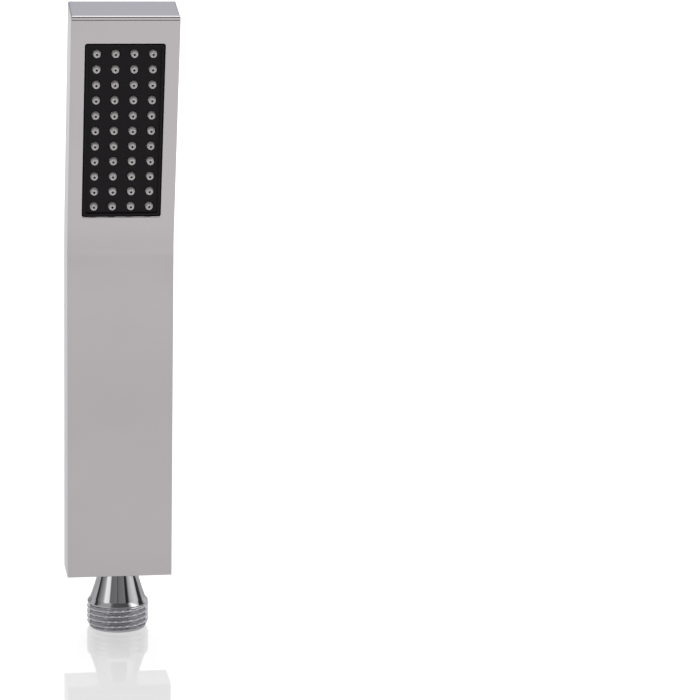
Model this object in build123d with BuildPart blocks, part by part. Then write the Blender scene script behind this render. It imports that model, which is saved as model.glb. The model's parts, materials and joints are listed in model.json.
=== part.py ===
from build123d import *
from math import cos, radians, sin, tan
import os

# Handheld shower head: a chrome-plated square-section bar, bent a little below its spray face.
# The spray cassette sits behind a window in the head, and water reaches it from a threaded inlet
# through a flow regulator, a non-return valve and an inner tube.
# Frame: origin at the centre of the inlet thread's end face, +Z up the handle, the spray leaves
# towards -Y, and +X is on the right of someone who faces the spray. Millimetres and degrees.

# ---------------------------------------------------------------- driving dimensions

# Body tube
body_depth = 15.0
body_wall = 1.2
body_edge_radius = 0.35
cavity_corner_radius = 0.5
handle_length = 116.0  # front face, from the lower end to the bend
head_tilt = 12.5
bend_radius = 50.0  # front face, at the bend

# Spray window and its nozzles
nozzle_columns = 4
nozzle_rows = 11
nozzle_pitch_across = 6.1
nozzle_pitch_along = 5.33
nozzle_margin_side = 3.85  # outer nozzle centres to the window's sides
nozzle_margin_end = 3.55  # outer nozzle centres to the window's ends
window_corner_radius = 0.7
window_edge_radius = 0.3
face_margin_side = 4.7  # chrome beside the window
face_margin_top = 8.1  # chrome between the end cap's seam and the window
face_margin_bottom = 8.5  # chrome between the window and the bend

# End cap and its seal
end_cap_thickness = 1.45
end_cap_edge_radius = 0.5
skirt_length = 4.6
skirt_wall = 2.0
skirt_clearance = 0.05
seal_height = 1.6
seal_section = 0.9
seal_below_seam = 1.5

# Inlet fitting: a G 1/2 parallel pipe thread, a collar, a lipped flare and a shank
thread_diameter = 20.955
thread_pitch = 25.4 / 14
thread_depth_ratio = 0.640327  # depth over pitch in the standard's 55 degree form
thread_flank_angle = 27.5
thread_floor_ratio = 1 / 6  # width of a groove's floor over the pitch
thread_cutter_overrun = 0.1  # the groove cutter stands this far out of the crests
thread_length = 8.2
thread_groove_count = 4
first_groove_height = 1.2
thread_lead_in_depth = 1.0
thread_lead_in_length = 1.8
collar_radius = 10.3
collar_height = 0.7
flare_lip_height = 1.5  # the steeper cone at the flare's foot
flare_lip_width = 0.95
flare_height = 9.0
flare_sag = 0.15
neck_radius = 6.5
pocket_radius = 7.4
pocket_depth = 7.0
shank_wall = 1.4

# How the fitting is held in the tube's lower end
base_plate_thickness = 3.0
base_plate_clearance = 0.05
shank_clearance = 0.1
washer_thickness = 0.8
washer_side_clearance = 0.2
nut_thickness = 4.0
nut_side_clearance = 0.3
nut_wall = 1.4  # from the shank to the nut's flats
nut_thread_clearance = 0.05

# Rubber rings of round section, in grooves round the shank and the two spigots
ring_groove_depth = 0.75
ring_groove_slack = 0.25  # the groove is this much longer than the ring is thick
ring_clearance = 0.02
ring_from_end = 2.0  # from a spigot's or the shank's end to the middle of its ring

# Strainer and flow regulator in the inlet pocket
insert_clearance = 0.1
regulator_height = 4.2
regulator_wall = 1.2
regulator_web = 1.2
regulator_hub_radius = 2.2
regulator_hub_height = 2.4
regulator_hole_radius = 0.55
regulator_hole_circle = 4.5
regulator_hole_count = 8
flow_ring_radius = 0.8
strainer_height = 1.5
strainer_rim_width = 1.0
strainer_mesh_thickness = 0.4
strainer_hole_side = 0.7
strainer_hole_pitch = 1.15

# Non-return valve
valve_side_clearance = 0.3
valve_socket_depth = 6.0
shank_end_gap = 0.2
seat_thickness = 2.0
seat_lap = 1.0  # how far the poppet's seal covers the seat round its bore
chamber_wall = 1.6
chamber_height = 9.6
valve_plug_clearance = 0.05
valve_plug_height = 1.6
valve_plug_wall = 1.0
valve_flange_thickness = 1.5
guide_boss_radius = 1.9
guide_arm_width = 1.0
guide_arm_count = 3
stem_radius = 1.0
guide_clearance = 0.05
seat_gap = 0.1
poppet_seal_thickness = 0.5
poppet_seal_inset = 0.1
poppet_hub_radius = 1.4
poppet_nose_radius = 1.8
poppet_nose_height = 0.4
poppet_disc_thickness = 1.2
poppet_side_gap = 0.7
spring_coil_radius = 2.3
spring_wire_radius = 0.25
spring_turns = 5
spring_end_gap = 0.05

# Inner water tube
spigot_radius = 3.9
spigot_bore_radius = 2.3
lower_spigot_length = 6.0
upper_spigot_length = 4.5
spigot_fit = 0.1  # from a spigot, or the shank, to the bore round it
tube_wall = 0.8
tube_end_gap = 0.2
tube_bend_radius = 20.0
spacer_thickness = 4.0
spacer_clearance = 0.1
spacer_hole_radius = 3.5
lower_spacer_height = 46.0  # above the tube's lower end
upper_spacer_drop = 16.0  # below the start of the bend

# Spray cassette: bezel, mat, tray, screws and backing pad
bezel_wall_gap = 0.1
bezel_window_clearance = 0.1
bezel_side_clearance = 0.1  # from the flange to where the cavity's corners begin to round
bezel_end_margin = 2.6
bezel_flange_thickness = 2.0
bezel_rim_width = 1.0
bezel_rim_depth = 0.25
bezel_rim_corner_radius = 0.5
plate_depth = 0.95
flange_corner_radius = 1.0
mat_thickness = 1.0
mat_margin = 0.5  # the mat is this much smaller than the window on each side
mat_clearance = 0.1
nub_radius = 1.45
nub_shoulder_radius = 1.25
nub_tip_radius = 0.8
nub_shoulder_height = 0.75
nub_height = 1.3
nub_hole_clearance = 0.1
jet_radius = 0.4
jet_inlet_radius = 0.9
jet_inlet_depth = 0.6
tray_flange_thickness = 2.0
tray_rim = 1.25  # how far the tray's edge clamps the mat
tray_wall = 1.5
tray_back_thickness = 1.6
screw_radius = 0.62
screw_pilot_radius = 0.65
screw_hole_radius = 0.9
screw_head_radius = 1.3
screw_head_height = 1.0
screw_length = 3.3
screw_tip_gap = 0.2
screw_slot_width = 0.3
screw_slot_depth = 0.45
screw_slot_length = 1.8
screw_pitch = 26.0
screw_rows = 3
pad_thickness = 0.8
pad_margin = 4.0

# ---------------------------------------------------------------- sizes that follow

tilt = radians(head_tilt)
window_width = (nozzle_columns - 1) * nozzle_pitch_across + 2 * nozzle_margin_side
window_length = (nozzle_rows - 1) * nozzle_pitch_along + 2 * nozzle_margin_end
body_width = window_width + 2 * face_margin_side
head_length = face_margin_top + window_length + face_margin_bottom
cavity_width = body_width - 2 * body_wall
cavity_depth = body_depth - 2 * body_wall

thread_radius = thread_diameter / 2
root_radius = thread_radius - thread_depth_ratio * thread_pitch
flare_foot_radius = collar_radius - flare_lip_width
collar_top = thread_length + collar_height
flare_foot = collar_top + flare_lip_height
body_base = flare_foot + flare_height

# The tube's centre line: up the handle, round the bend, and along the head
bend_setback = bend_radius * tan(tilt / 2)
bend_start = body_base + handle_length - bend_setback
axis_bend_radius = bend_radius + body_depth / 2
head_direction = Vector(0, -sin(tilt), cos(tilt))
face_normal = Vector(0, -cos(tilt), -sin(tilt))
bend_centre = Vector(0, -axis_bend_radius, bend_start)
bend_middle = bend_centre + Vector(0, cos(tilt / 2), sin(tilt / 2)) * axis_bend_radius
bend_end = bend_centre - face_normal * axis_bend_radius
head_top = bend_end + head_direction * (head_length - bend_setback)
axis_corner = Vector(0, 0, bend_start + axis_bend_radius * tan(tilt / 2))

# Head plane: on the end cap's seam, facing up the head. Window plane: on the spray face's outer
# surface, facing out, with its origin at the window's centre and its y axis up the head.
window_centre = face_margin_top + window_length / 2
window_origin = head_top + face_normal * (body_depth / 2) - head_direction * window_centre
head_plane = Plane(origin=head_top, x_dir=(1, 0, 0), z_dir=head_direction)
window_plane = Plane(origin=window_origin, x_dir=(1, 0, 0), z_dir=face_normal)
head_axis = Axis(head_top, head_direction)
face_axis = Axis(window_origin, face_normal)


def at_depth(depth):
    """The plane that lies a depth behind the spray face's outer surface."""
    return window_plane.offset(-depth)


def down_head(distance):
    """The plane across the head at a distance below the end cap's seam."""
    return head_plane.offset(-distance)


def at_height(height):
    """The level plane at a height above the thread's end face."""
    return Plane.XY.offset(height)


# Heights along the handle
washer_base = body_base + base_plate_thickness
nut_base = washer_base + washer_thickness
valve_base = nut_base + nut_thickness
seat_base = valve_base + valve_socket_depth
chamber_base = seat_base + seat_thickness
chamber_top = chamber_base + chamber_height
plug_base = chamber_top - valve_plug_height
shank_top = seat_base - shank_end_gap
valve_cap_top = chamber_top + valve_flange_thickness
lower_spigot_top = valve_cap_top + lower_spigot_length
tube_bottom = valve_cap_top + tube_end_gap

# Radii in the handle, set by the room inside the tube
washer_radius = cavity_depth / 2 - washer_side_clearance
nut_across_flats = cavity_depth - 2 * nut_side_clearance
shank_radius = nut_across_flats / 2 - nut_wall
inlet_bore_radius = shank_radius - shank_wall
valve_radius = cavity_depth / 2 - valve_side_clearance
chamber_radius = valve_radius - chamber_wall
poppet_disc_radius = chamber_radius - poppet_side_gap
poppet_seal_radius = poppet_disc_radius - poppet_seal_inset
seat_bore_radius = poppet_seal_radius - seat_lap
tube_bore_radius = spigot_radius + spigot_fit
tube_radius = tube_bore_radius + tube_wall

# Depths behind the spray face
bezel_front = body_wall + bezel_wall_gap
cassette_joint = bezel_front + bezel_flange_thickness
mat_front = cassette_joint - mat_thickness
tray_flange_back = cassette_joint + tray_flange_thickness
tray_back = body_depth - body_wall - pad_thickness
flange_width = cavity_width - 2 * (cavity_corner_radius + bezel_side_clearance)
flange_length = window_length + 2 * bezel_end_margin
flange_end = window_centre + flange_length / 2
mat_width = window_width - 2 * mat_margin
mat_length = window_length - 2 * mat_margin
tray_inner_width = mat_width - 2 * tray_rim
tray_inner_length = mat_length - 2 * tray_rim
tray_outer_width = tray_inner_width + 2 * tray_wall
tray_outer_length = tray_inner_length + 2 * tray_wall
screw_line = (tray_outer_width / 2 + flange_width / 2) / 2

# Distances from the end cap's seam, down the head
tray_floor = window_centre + tray_inner_length / 2
tube_top = flange_end + tube_end_gap
upper_spigot_end = flange_end + upper_spigot_length

# Planes across the middle of each rubber ring
fitting_ring_plane = at_height(shank_top - ring_from_end)
lower_ring_plane = at_height(lower_spigot_top - ring_from_end)
upper_ring_plane = down_head(upper_spigot_end - ring_from_end)


def slab(depth, thickness, width, length, radius, mode=Mode.ADD):
    """Adds, or cuts, a rounded plate behind the spray face, centred on the window."""
    with BuildSketch(at_depth(depth)) as plate:
        RectangleRounded(width, length, radius)
    extrude(plate.sketch, amount=-thickness, mode=mode)


def turned(base, top, radius, mode=Mode.ADD):
    """Adds, or cuts, a round bar on the handle's axis between two heights."""
    with BuildSketch(at_height(base)) as disc:
        Circle(radius)
    extrude(disc.sketch, amount=top - base, mode=mode)


def drilled(plane, amount, radius, spots):
    """Cuts a round hole at each spot, by an amount along the plane's normal."""
    with BuildSketch(plane) as holes:
        with spots:
            Circle(radius)
    extrude(holes.sketch, amount=amount, mode=Mode.SUBTRACT)


def ring_groove(plane, shaft_radius):
    """Cuts the groove for a rubber ring round a shaft, centred on the plane."""
    length = ring_groove_depth + spigot_fit + ring_groove_slack
    with BuildSketch(plane.offset(-length / 2)) as groove:
        Circle(shaft_radius + spigot_fit)
        Circle(shaft_radius - ring_groove_depth, mode=Mode.SUBTRACT)
    extrude(groove.sketch, amount=length, mode=Mode.SUBTRACT)


def round_ring(plane, shaft_radius):
    """A rubber ring between its groove in a shaft and the bore round the shaft."""
    bore = shaft_radius + spigot_fit
    floor = shaft_radius - ring_groove_depth
    with BuildPart(plane) as ring:
        Torus((bore + floor) / 2, (bore - floor) / 2 - ring_clearance)
    return ring


def nozzle_cones(depth, base_radius, top_radius, height, mode=Mode.ADD):
    """Adds, or cuts, a cone at each nozzle, standing outwards from a depth behind the face."""
    from_base = (Align.CENTER, Align.CENTER, Align.MIN)
    with Locations(at_depth(depth)):
        with GridLocations(nozzle_pitch_across, nozzle_pitch_along, nozzle_columns, nozzle_rows):
            Cone(base_radius, top_radius, height, align=from_base, mode=mode)


nozzle_grid = GridLocations(nozzle_pitch_across, nozzle_pitch_along, nozzle_columns, nozzle_rows)
screw_grid = GridLocations(2 * screw_line, screw_pitch, 2, screw_rows)


os.makedirs("parts", exist_ok=True)

# ---------------------------------------------------------------- body and its ends

# Square-section tube, bent towards the spray side, with the window through its front wall
with BuildPart() as body_shell:
    with BuildLine() as body_line:
        Line((0, 0, body_base), (0, 0, bend_start))
        ThreePointArc((0, 0, bend_start), bend_middle, bend_end)
        Line(bend_end, head_top)
    with BuildSketch(at_height(body_base)):
        RectangleRounded(body_width, body_depth, body_edge_radius)
        RectangleRounded(cavity_width, cavity_depth, cavity_corner_radius, mode=Mode.SUBTRACT)
    sweep(path=body_line.wire())
    slab(0, body_depth / 2, window_width, window_length, window_corner_radius, mode=Mode.SUBTRACT)
    window_edges = body_shell.edges(Select.LAST).group_by(face_axis)[-1]
    fillet(window_edges, radius=window_edge_radius)
body_shell.part.label = "body_shell"
export_step(body_shell.part, "parts/body_shell.step")

# Flat end cap with a skirt that plugs into the tube and carries the seal
skirt_width = cavity_width - 2 * skirt_clearance
skirt_depth = cavity_depth - 2 * skirt_clearance
groove_width = cavity_width - 2 * seal_section
groove_depth = cavity_depth - 2 * seal_section
with BuildPart() as end_cap:
    with BuildSketch(head_plane):
        RectangleRounded(body_width, body_depth, body_edge_radius)
    extrude(amount=end_cap_thickness)
    fillet(end_cap.edges().group_by(head_axis)[-1], radius=end_cap_edge_radius)
    with BuildSketch(head_plane):
        RectangleRounded(skirt_width, skirt_depth, cavity_corner_radius)
        Rectangle(skirt_width - 2 * skirt_wall, skirt_depth - 2 * skirt_wall, mode=Mode.SUBTRACT)
    extrude(amount=-skirt_length)
    with BuildSketch(head_plane.offset(-seal_below_seam)):
        Rectangle(cavity_width, cavity_depth)
        RectangleRounded(groove_width, groove_depth, cavity_corner_radius, mode=Mode.SUBTRACT)
    extrude(amount=-seal_height, mode=Mode.SUBTRACT)
end_cap.part.label = "end_cap"
export_step(end_cap.part, "parts/end_cap.step")

# Rubber ring in the skirt's groove
with BuildPart() as end_cap_seal:
    with BuildSketch(head_plane.offset(-seal_below_seam)):
        RectangleRounded(cavity_width, cavity_depth, cavity_corner_radius)
        RectangleRounded(groove_width, groove_depth, cavity_corner_radius, mode=Mode.SUBTRACT)
    extrude(amount=-seal_height)
end_cap_seal.part.label = "end_cap_seal"
export_step(end_cap_seal.part, "parts/end_cap_seal.step")

# Plug plate, flush in the tube's lower end, with the hole for the fitting's shank
with BuildPart() as base_plate:
    with BuildSketch(at_height(body_base)):
        RectangleRounded(
            cavity_width - 2 * base_plate_clearance,
            cavity_depth - 2 * base_plate_clearance,
            cavity_corner_radius,
        )
        Circle(shank_radius + shank_clearance, mode=Mode.SUBTRACT)
    extrude(amount=base_plate_thickness)
base_plate.part.label = "base_plate"
export_step(base_plate.part, "parts/base_plate.step")

# ---------------------------------------------------------------- inlet

# Turned fitting: thread, collar, lipped flare, and the shank that goes up through the base plate.
# The thread is cut as parallel grooves of its true form and pitch.
flank_slope = tan(radians(thread_flank_angle))
groove_floor_half = thread_floor_ratio * thread_pitch / 2
groove_mouth_radius = thread_radius + thread_cutter_overrun
groove_mouth_half = groove_floor_half + (groove_mouth_radius - root_radius) * flank_slope
with BuildPart() as inlet_fitting:
    with BuildSketch(Plane.XZ):
        with BuildLine():
            Polyline(
                (inlet_bore_radius, pocket_depth),
                (pocket_radius, pocket_depth),
                (pocket_radius, 0),
                (thread_radius - thread_lead_in_depth, 0),
                (thread_radius, thread_lead_in_length),
                (thread_radius, thread_length),
                (collar_radius, thread_length),
                (collar_radius, collar_top),
                (flare_foot_radius, flare_foot),
            )
            ThreePointArc(
                (flare_foot_radius, flare_foot),
                ((flare_foot_radius + neck_radius) / 2 - flare_sag, flare_foot + flare_height / 2),
                (neck_radius, body_base),
            )
            Polyline(
                (neck_radius, body_base),
                (shank_radius, body_base),
                (shank_radius, shank_top),
                (inlet_bore_radius, shank_top),
                (inlet_bore_radius, pocket_depth),
            )
        make_face()
    revolve(axis=Axis.Z)
    for turn in range(thread_groove_count):
        groove_height = first_groove_height + turn * thread_pitch
        with BuildSketch(Plane.XZ):
            with BuildLine():
                Polyline(
                    (root_radius, groove_height - groove_floor_half),
                    (groove_mouth_radius, groove_height - groove_mouth_half),
                    (groove_mouth_radius, groove_height + groove_mouth_half),
                    (root_radius, groove_height + groove_floor_half),
                    close=True,
                )
            make_face()
        revolve(axis=Axis.Z, mode=Mode.SUBTRACT)
    ring_groove(fitting_ring_plane, shank_radius)
inlet_fitting.part.label = "inlet_fitting"
export_step(inlet_fitting.part, "parts/inlet_fitting.step")

# Washer and nut that pull the fitting's shank up against the base plate
with BuildPart() as fitting_washer:
    turned(washer_base, nut_base, washer_radius)
    turned(washer_base, nut_base, shank_radius + shank_clearance, mode=Mode.SUBTRACT)
fitting_washer.part.label = "fitting_washer"
export_step(fitting_washer.part, "parts/fitting_washer.step")

with BuildPart() as fitting_locknut:
    with BuildSketch(at_height(nut_base)):
        RegularPolygon(nut_across_flats / 2, 6, major_radius=False)
        Circle(shank_radius + nut_thread_clearance, mode=Mode.SUBTRACT)
    extrude(amount=nut_thickness)
fitting_locknut.part.label = "fitting_locknut"
export_step(fitting_locknut.part, "parts/fitting_locknut.step")

# Ring that seals the shank in the valve housing
fitting_oring = round_ring(fitting_ring_plane, shank_radius)
fitting_oring.part.label = "fitting_oring"
export_step(fitting_oring.part, "parts/fitting_oring.step")

# Flow regulator, pushed up into the inlet pocket: a web with jets, a rim and a central hub
insert_radius = pocket_radius - insert_clearance
regulator_top = pocket_depth - insert_clearance
regulator_base = regulator_top - regulator_height
web_base = regulator_top - regulator_web
with BuildPart() as flow_regulator:
    turned(regulator_base, regulator_top, insert_radius)
    turned(regulator_base, web_base, insert_radius - regulator_wall, mode=Mode.SUBTRACT)
    turned(web_base - regulator_hub_height, web_base, regulator_hub_radius)
    regulator_jets = PolarLocations(regulator_hole_circle, regulator_hole_count)
    drilled(at_height(web_base), regulator_web, regulator_hole_radius, regulator_jets)
flow_regulator.part.label = "flow_regulator"
export_step(flow_regulator.part, "parts/flow_regulator.step")

# Rubber ring round the hub: water pressure flattens it over the jets
flow_ring_plane = at_height(web_base - flow_ring_radius - ring_clearance)
with BuildPart(flow_ring_plane) as flow_ring:
    Torus(regulator_hub_radius + ring_clearance + flow_ring_radius, flow_ring_radius)
flow_ring.part.label = "flow_ring"
export_step(flow_ring.part, "parts/flow_ring.step")

# Sieve below the regulator: a rim and a perforated disc with square holes
strainer_base = regulator_base - strainer_height
mesh_radius = insert_radius - strainer_rim_width
mesh_count = 2 * int(mesh_radius / strainer_hole_pitch) + 1
mesh_reach = mesh_radius - strainer_hole_side
mesh_grid = GridLocations(strainer_hole_pitch, strainer_hole_pitch, mesh_count, mesh_count)
mesh_holes = [spot for spot in mesh_grid.locations if spot.position.length < mesh_reach]
with BuildPart() as inlet_strainer:
    turned(strainer_base, regulator_base, insert_radius)
    turned(strainer_base + strainer_mesh_thickness, regulator_base, mesh_radius, mode=Mode.SUBTRACT)
    with BuildSketch(at_height(strainer_base)):
        with Locations(*mesh_holes):
            Rectangle(strainer_hole_side, strainer_hole_side)
    extrude(amount=strainer_mesh_thickness, mode=Mode.SUBTRACT)
inlet_strainer.part.label = "inlet_strainer"
export_step(inlet_strainer.part, "parts/inlet_strainer.step")

# ---------------------------------------------------------------- non-return valve

# Housing: a socket over the fitting's shank, the seat, and the chamber above it
with BuildPart() as valve_housing:
    turned(valve_base, chamber_top, valve_radius)
    turned(valve_base, seat_base, shank_radius + spigot_fit, mode=Mode.SUBTRACT)
    turned(seat_base, chamber_base, seat_bore_radius, mode=Mode.SUBTRACT)
    turned(chamber_base, chamber_top, chamber_radius, mode=Mode.SUBTRACT)
valve_housing.part.label = "valve_housing"
export_step(valve_housing.part, "parts/valve_housing.step")

# Cap: a plug with a three-armed stem guide, a flange, and the spigot for the water tube
plug_radius = chamber_radius - valve_plug_clearance
plug_bore_radius = plug_radius - valve_plug_wall
guide_bore_radius = stem_radius + guide_clearance
with BuildPart() as valve_cap:
    turned(chamber_top, valve_cap_top, valve_radius)
    turned(plug_base, chamber_top, plug_radius)
    turned(valve_cap_top, lower_spigot_top, spigot_radius)
    turned(plug_base, chamber_top, plug_bore_radius, mode=Mode.SUBTRACT)
    turned(chamber_top, lower_spigot_top, spigot_bore_radius, mode=Mode.SUBTRACT)
    with BuildSketch(at_height(plug_base)):
        Circle(guide_boss_radius)
        with PolarLocations(plug_bore_radius / 2, guide_arm_count):
            Rectangle(plug_bore_radius + valve_plug_wall / 2, guide_arm_width)
    extrude(amount=valve_plug_height)
    turned(plug_base, chamber_top, guide_bore_radius, mode=Mode.SUBTRACT)
    ring_groove(lower_ring_plane, spigot_radius)
valve_cap.part.label = "valve_cap"
export_step(valve_cap.part, "parts/valve_cap.step")

# Poppet: a disc on a stem, with a hub and a nose that hold its rubber seal
poppet_seal_base = chamber_base + seat_gap
poppet_disc_base = poppet_seal_base + poppet_seal_thickness
poppet_disc_top = poppet_disc_base + poppet_disc_thickness
with BuildPart() as valve_poppet:
    turned(poppet_seal_base - poppet_nose_height, poppet_seal_base, poppet_nose_radius)
    turned(poppet_seal_base, poppet_disc_base, poppet_hub_radius)
    turned(poppet_disc_base, poppet_disc_top, poppet_disc_radius)
    turned(poppet_disc_top, chamber_top, stem_radius)
valve_poppet.part.label = "valve_poppet"
export_step(valve_poppet.part, "parts/valve_poppet.step")

with BuildPart() as poppet_seal:
    turned(poppet_seal_base, poppet_disc_base, poppet_seal_radius)
    turned(poppet_seal_base, poppet_disc_base, poppet_hub_radius, mode=Mode.SUBTRACT)
poppet_seal.part.label = "poppet_seal"
export_step(poppet_seal.part, "parts/poppet_seal.step")

# Closing spring, between the poppet's disc and the cap's plug
spring_inset = spring_wire_radius + spring_end_gap
spring_height = plug_base - poppet_disc_top - 2 * spring_inset
with BuildPart() as valve_spring:
    with BuildLine() as coil:
        Helix(
            pitch=spring_height / spring_turns,
            height=spring_height,
            radius=spring_coil_radius,
            center=(0, 0, poppet_disc_top + spring_inset),
        )
    with BuildSketch(Plane(origin=coil.line @ 0, z_dir=coil.line % 0)):
        Circle(spring_wire_radius)
    sweep(path=coil.wire(), is_frenet=True)
valve_spring.part.label = "valve_spring"
export_step(valve_spring.part, "parts/valve_spring.step")

# ---------------------------------------------------------------- inner water tube

lower_tube_oring = round_ring(lower_ring_plane, spigot_radius)
lower_tube_oring.part.label = "lower_tube_oring"
export_step(lower_tube_oring.part, "parts/lower_tube_oring.step")

# Tube over both spigots, with its own tighter bend inside the body's
tube_end = head_top - head_direction * tube_top
with BuildPart() as water_tube:
    with BuildLine() as tube_line:
        FilletPolyline((0, 0, tube_bottom), axis_corner, tube_end, radius=tube_bend_radius)
    with BuildSketch(at_height(tube_bottom)):
        Circle(tube_radius)
        Circle(tube_bore_radius, mode=Mode.SUBTRACT)
    sweep(path=tube_line.wire())
water_tube.part.label = "water_tube"
export_step(water_tube.part, "parts/water_tube.step")

upper_tube_oring = round_ring(upper_ring_plane, spigot_radius)
upper_tube_oring.part.label = "upper_tube_oring"
export_step(upper_tube_oring.part, "parts/upper_tube_oring.step")


def tube_spacer(height):
    """A clip across the tube's cavity that centres the water tube, with a hole on each side."""
    hole_line = (tube_radius + cavity_width / 2) / 2
    with BuildPart() as spacer:
        with BuildSketch(at_height(height)):
            RectangleRounded(
                cavity_width - 2 * spacer_clearance,
                cavity_depth - 2 * spacer_clearance,
                cavity_corner_radius,
            )
            Circle(tube_radius + spacer_clearance, mode=Mode.SUBTRACT)
            with GridLocations(2 * hole_line, 0, 2, 1):
                Circle(spacer_hole_radius, mode=Mode.SUBTRACT)
        extrude(amount=spacer_thickness)
    return spacer


tube_spacer_lower = tube_spacer(body_base + lower_spacer_height)
tube_spacer_lower.part.label = "tube_spacer_lower"
export_step(tube_spacer_lower.part, "parts/tube_spacer_lower.step")

tube_spacer_upper = tube_spacer(bend_start - upper_spacer_drop)
tube_spacer_upper.part.label = "tube_spacer_upper"
export_step(tube_spacer_upper.part, "parts/tube_spacer_upper.step")

# ---------------------------------------------------------------- spray cassette

# Bezel: a flange behind the window's edge, a rim in the window, and the recessed nozzle plate
rim_width = window_width - 2 * bezel_window_clearance
rim_length = window_length - 2 * bezel_window_clearance
recess_width = rim_width - 2 * bezel_rim_width
recess_length = rim_length - 2 * bezel_rim_width
mat_seat_width = mat_width + 2 * mat_clearance
mat_seat_length = mat_length + 2 * mat_clearance
pilot_depth = screw_length - tray_flange_thickness + screw_tip_gap
with BuildPart() as nozzle_bezel:
    slab(bezel_front, bezel_flange_thickness, flange_width, flange_length, flange_corner_radius)
    slab(bezel_rim_depth, bezel_front - bezel_rim_depth, rim_width, rim_length, window_corner_radius)
    slab(
        bezel_rim_depth,
        plate_depth - bezel_rim_depth,
        recess_width,
        recess_length,
        bezel_rim_corner_radius,
        mode=Mode.SUBTRACT,
    )
    slab(
        mat_front,
        mat_thickness,
        mat_seat_width,
        mat_seat_length,
        flange_corner_radius,
        mode=Mode.SUBTRACT,
    )
    drilled(at_depth(mat_front), mat_front, nub_radius + nub_hole_clearance, nozzle_grid)
    drilled(at_depth(cassette_joint), pilot_depth, screw_pilot_radius, screw_grid)
nozzle_bezel.part.label = "nozzle_bezel"
export_step(nozzle_bezel.part, "parts/nozzle_bezel.step")

# Silicone mat: a sheet with a hollow nub through each of the plate's holes
shoulder_depth = plate_depth - nub_shoulder_height
tip_height = nub_height - nub_shoulder_height
tip_depth = plate_depth - nub_height
with BuildPart() as nozzle_mat:
    slab(mat_front, mat_thickness, mat_width, mat_length, flange_corner_radius)
    with BuildSketch(at_depth(mat_front)):
        with nozzle_grid:
            Circle(nub_radius)
    extrude(amount=mat_front - plate_depth)
    nozzle_cones(plate_depth, nub_radius, nub_shoulder_radius, nub_shoulder_height)
    nozzle_cones(shoulder_depth, nub_shoulder_radius, nub_tip_radius, tip_height)
    nozzle_cones(cassette_joint, jet_inlet_radius, jet_radius, jet_inlet_depth, Mode.SUBTRACT)
    drilled(at_depth(cassette_joint), cassette_joint - tip_depth, jet_radius, nozzle_grid)
nozzle_mat.part.label = "nozzle_mat"
export_step(nozzle_mat.part, "parts/nozzle_mat.step")

# Tray: the water chamber behind the mat, a flange for the screws, and the spigot for the tube
chamber_depth = tray_back - tray_back_thickness - cassette_joint
with BuildPart() as spray_tray:
    slab(cassette_joint, tray_flange_thickness, flange_width, flange_length, flange_corner_radius)
    slab(
        cassette_joint,
        tray_back - cassette_joint,
        tray_outer_width,
        tray_outer_length,
        flange_corner_radius,
    )
    with BuildSketch(down_head(tray_floor)):
        Circle(spigot_radius)
    extrude(amount=tray_floor - upper_spigot_end)
    slab(
        cassette_joint,
        chamber_depth,
        tray_inner_width,
        tray_inner_length,
        flange_corner_radius,
        mode=Mode.SUBTRACT,
    )
    with BuildSketch(down_head(upper_spigot_end)):
        Circle(spigot_bore_radius)
    extrude(amount=upper_spigot_end - tray_floor + tray_wall, mode=Mode.SUBTRACT)
    drilled(at_depth(tray_flange_back), tray_flange_thickness, screw_hole_radius, screw_grid)
    ring_groove(upper_ring_plane, spigot_radius)
spray_tray.part.label = "spray_tray"
export_step(spray_tray.part, "parts/spray_tray.step")

# Screws through the tray's flange into the bezel, with cross recesses in their heads
with BuildPart() as tray_screws:
    with BuildSketch(at_depth(tray_flange_back)):
        with screw_grid:
            Circle(screw_radius)
    extrude(amount=screw_length)
    with BuildSketch(at_depth(tray_flange_back)):
        with screw_grid:
            Circle(screw_head_radius)
    extrude(amount=-screw_head_height)
    with BuildSketch(at_depth(tray_flange_back + screw_head_height)):
        with screw_grid:
            Rectangle(screw_slot_length, screw_slot_width)
            Rectangle(screw_slot_width, screw_slot_length)
    extrude(amount=screw_slot_depth, mode=Mode.SUBTRACT)
tray_screws.part.label = "tray_screws"
export_step(tray_screws.part, "parts/tray_screws.step")

# Rubber pad that presses the cassette forward against the window's edge
with BuildPart() as backing_pad:
    slab(
        tray_back,
        pad_thickness,
        tray_outer_width - 2 * pad_margin,
        tray_outer_length - 2 * pad_margin,
        flange_corner_radius,
    )
backing_pad.part.label = "backing_pad"
export_step(backing_pad.part, "parts/backing_pad.step")
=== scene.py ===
import json

import bmesh
import bpy
import numpy as np
from mathutils import Matrix, Vector


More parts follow.
